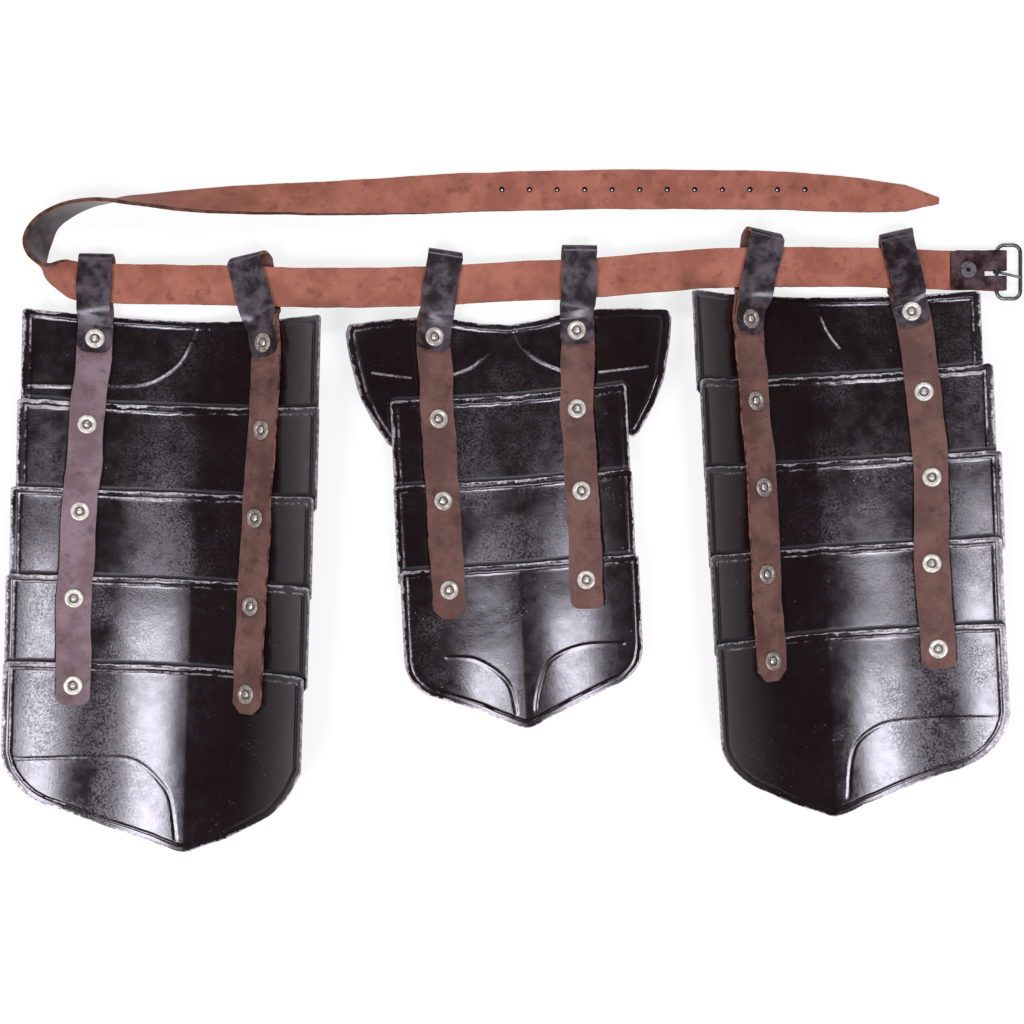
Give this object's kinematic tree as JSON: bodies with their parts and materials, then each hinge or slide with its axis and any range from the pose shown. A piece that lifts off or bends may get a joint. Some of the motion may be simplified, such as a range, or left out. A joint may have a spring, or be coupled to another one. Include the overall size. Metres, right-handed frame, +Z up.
{
  "type": "armour belt",
  "caption": "Leather waist belt with a wire buckle and hanging tassets of overlapping black steel lames riveted to leather straps, laid flat with the inner side up.",
  "frame": {"origin": "on the floor, under the middle of the whole piece as it lies", "axes": "+X along the belt towards the buckle, +Y from the plates to the belt, +Z up, out of the hollow sides of the plates"},
  "size_m": [0.8065, 0.5456, 0.0677],
  "materials": {
    "belt_leather": "matte suede flesh side",
    "strap_leather": "creased matte",
    "blackened_steel": "black paint worn to bright steel at the edges",
    "rivet_steel": "satin",
    "washer_steel": "satin",
    "buckle_wire": "dark semi-gloss",
    "dark_rivet": "dark satin"
  },
  "bodies": {
    "belt": {"belt_strap": "belt_leather", "buckle_rivet": "dark_rivet"},
    "buckle_frame": {"buckle_frame": "buckle_wire"},
    "buckle_prong": {"buckle_prong": "buckle_wire"},
    "left_hanger": {"left_tasset_outer_strap": "strap_leather", "left_tasset_inner_strap": "strap_leather"},
    "left_lame_1": {"left_tasset_lame_1": "blackened_steel", "left_tasset_lame_1_rivets": "rivet_steel", "left_tasset_lame_1_washers": "washer_steel"},
    "left_lame_2": {"left_tasset_lame_2": "blackened_steel", "left_tasset_lame_2_rivets": "rivet_steel", "left_tasset_lame_2_washers": "washer_steel"},
    "left_lame_3": {"left_tasset_lame_3": "blackened_steel", "left_tasset_lame_3_rivets": "rivet_steel", "left_tasset_lame_3_washers": "washer_steel"},
    "left_lame_4": {"left_tasset_lame_4": "blackened_steel", "left_tasset_lame_4_rivets": "rivet_steel", "left_tasset_lame_4_washers": "washer_steel"},
    "left_lame_5": {"left_tasset_lame_5": "blackened_steel", "left_tasset_lame_5_rivets": "rivet_steel", "left_tasset_lame_5_washers": "washer_steel"},
    "middle_hanger": {"middle_tasset_left_strap": "strap_leather", "middle_tasset_right_strap": "strap_leather"},
    "middle_lame_1": {"middle_tasset_lame_1": "blackened_steel", "middle_tasset_lame_1_rivets": "rivet_steel", "middle_tasset_lame_1_washers": "washer_steel"},
    "middle_lame_2": {"middle_tasset_lame_2": "blackened_steel", "middle_tasset_lame_2_rivets": "rivet_steel", "middle_tasset_lame_2_washers": "washer_steel"},
    "middle_lame_3": {"middle_tasset_lame_3": "blackened_steel", "middle_tasset_lame_3_rivets": "rivet_steel", "middle_tasset_lame_3_washers": "washer_steel"},
    "middle_lame_4": {"middle_tasset_lame_4": "blackened_steel", "middle_tasset_lame_4_rivets": "rivet_steel", "middle_tasset_lame_4_washers": "washer_steel"},
    "right_hanger": {"right_tasset_outer_strap": "strap_leather", "right_tasset_inner_strap": "strap_leather"},
    "right_lame_1": {"right_tasset_lame_1": "blackened_steel", "right_tasset_lame_1_rivets": "rivet_steel", "right_tasset_lame_1_washers": "washer_steel"},
    "right_lame_2": {"right_tasset_lame_2": "blackened_steel", "right_tasset_lame_2_rivets": "rivet_steel", "right_tasset_lame_2_washers": "washer_steel"},
    "right_lame_3": {"right_tasset_lame_3": "blackened_steel", "right_tasset_lame_3_rivets": "rivet_steel", "right_tasset_lame_3_washers": "washer_steel"},
    "right_lame_4": {"right_tasset_lame_4": "blackened_steel", "right_tasset_lame_4_rivets": "rivet_steel", "right_tasset_lame_4_washers": "washer_steel"},
    "right_lame_5": {"right_tasset_lame_5": "blackened_steel", "right_tasset_lame_5_rivets": "rivet_steel", "right_tasset_lame_5_washers": "washer_steel"}
  },
  "joints": [
    {"name": "buckle_frame_hinge", "type": "hinge", "parent": "belt", "child": "buckle_frame", "pos_m": [0.384, 0.19121, 0.00627], "axis": [0, -1, 0], "range_deg": [-60, 90]},
    {"name": "buckle_prong_hinge", "type": "hinge", "parent": "buckle_frame", "child": "buckle_prong", "pos_m": [0.384, 0.19121, 0.00627], "axis": [0, -1, 0], "range_deg": [0, 50]},
    {"name": "left_tasset_slide", "type": "slide", "parent": "belt", "child": "left_hanger", "axis": [1, 0, 0], "range_m": [0, 0.017], "deforming": ["left_tasset_outer_strap", "left_tasset_inner_strap"]},
    {"name": "left_tasset_swing", "type": "hinge", "parent": "left_hanger", "child": "left_lame_1", "pos_m": [-0.2506, 0.1576, 0.02413], "axis": [0.9903, -0.038, 0.134], "range_deg": [-30, 90], "deforming": ["left_tasset_outer_strap", "left_tasset_inner_strap"]},
    {"name": "left_lame_2_fold", "type": "hinge", "parent": "left_lame_1", "child": "left_lame_2", "pos_m": [-0.25344, 0.08366, 0.02413], "axis": [-0.9903, 0.038, -0.134], "range_deg": [0, 15], "deforming": ["left_tasset_outer_strap", "left_tasset_inner_strap"]},
    {"name": "left_lame_3_fold", "type": "hinge", "parent": "left_lame_2", "child": "left_lame_3", "pos_m": [-0.25609, 0.01471, 0.02413], "axis": [-0.9903, 0.038, -0.134], "range_deg": [0, 15], "deforming": ["left_tasset_outer_strap", "left_tasset_inner_strap"]},
    {"name": "left_lame_4_fold", "type": "hinge", "parent": "left_lame_3", "child": "left_lame_4", "pos_m": [-0.25874, -0.05424, 0.02413], "axis": [-0.9903, 0.038, -0.134], "range_deg": [0, 15], "deforming": ["left_tasset_outer_strap", "left_tasset_inner_strap"]},
    {"name": "left_lame_5_fold", "type": "hinge", "parent": "left_lame_4", "child": "left_lame_5", "pos_m": [-0.26139, -0.12319, 0.02413], "axis": [-0.9903, 0.038, -0.134], "range_deg": [0, 15], "deforming": ["left_tasset_outer_strap", "left_tasset_inner_strap"]},
    {"name": "middle_tasset_slide", "type": "slide", "parent": "belt", "child": "middle_hanger", "axis": [1, 0, 0], "range_m": [-0.015, 0.015], "deforming": ["middle_tasset_left_strap", "middle_tasset_right_strap"]},
    {"name": "middle_tasset_swing", "type": "hinge", "parent": "middle_hanger", "child": "middle_lame_1", "pos_m": [-0.00547, 0.15929, 0.017], "axis": [0.9989, 0.0471, 0], "range_deg": [-30, 90], "deforming": ["middle_tasset_left_strap", "middle_tasset_right_strap"]},
    {"name": "middle_lame_2_fold", "type": "hinge", "parent": "middle_lame_1", "child": "middle_lame_2", "pos_m": [-0.00231, 0.09236, 0.017], "axis": [-0.9989, -0.0471, 0], "range_deg": [0, 15], "deforming": ["middle_tasset_left_strap", "middle_tasset_right_strap"]},
    {"name": "middle_lame_3_fold", "type": "hinge", "parent": "middle_lame_2", "child": "middle_lame_3", "pos_m": [0.00084, 0.02544, 0.017], "axis": [-0.9989, -0.0471, 0], "range_deg": [0, 15], "deforming": ["middle_tasset_left_strap", "middle_tasset_right_strap"]},
    {"name": "middle_lame_4_fold", "type": "hinge", "parent": "middle_lame_3", "child": "middle_lame_4", "pos_m": [0.004, -0.04149, 0.017], "axis": [-0.9989, -0.0471, 0], "range_deg": [0, 15], "deforming": ["middle_tasset_left_strap", "middle_tasset_right_strap"]},
    {"name": "right_tasset_slide", "type": "slide", "parent": "belt", "child": "right_hanger", "axis": [1, 0, 0], "range_m": [-0.015, 0.012], "deforming": ["right_tasset_outer_strap", "right_tasset_inner_strap"]},
    {"name": "right_tasset_swing", "type": "hinge", "parent": "right_hanger", "child": "right_lame_1", "pos_m": [0.23401, 0.17536, 0.02285], "axis": [0.9891, 0.0605, -0.134], "range_deg": [-30, 90], "deforming": ["right_tasset_outer_strap", "right_tasset_inner_strap"]},
    {"name": "right_lame_2_fold", "type": "hinge", "parent": "right_lame_1", "child": "right_lame_2", "pos_m": [0.23816, 0.10748, 0.02285], "axis": [-0.9891, -0.0605, 0.134], "range_deg": [0, 15], "deforming": ["right_tasset_outer_strap", "right_tasset_inner_strap"]},
    {"name": "right_lame_3_fold", "type": "hinge", "parent": "right_lame_2", "child": "right_lame_3", "pos_m": [0.24232, 0.03961, 0.02285], "axis": [-0.9891, -0.0605, 0.134], "range_deg": [0, 15], "deforming": ["right_tasset_outer_strap", "right_tasset_inner_strap"]},
    {"name": "right_lame_4_fold", "type": "hinge", "parent": "right_lame_3", "child": "right_lame_4", "pos_m": [0.24647, -0.02826, 0.02285], "axis": [-0.9891, -0.0605, 0.134], "range_deg": [0, 15], "deforming": ["right_tasset_outer_strap", "right_tasset_inner_strap"]},
    {"name": "right_lame_5_fold", "type": "hinge", "parent": "right_lame_4", "child": "right_lame_5", "pos_m": [0.25062, -0.09614, 0.02285], "axis": [-0.9891, -0.0605, 0.134], "range_deg": [0, 15], "deforming": ["right_tasset_outer_strap", "right_tasset_inner_strap"]}
  ]
}
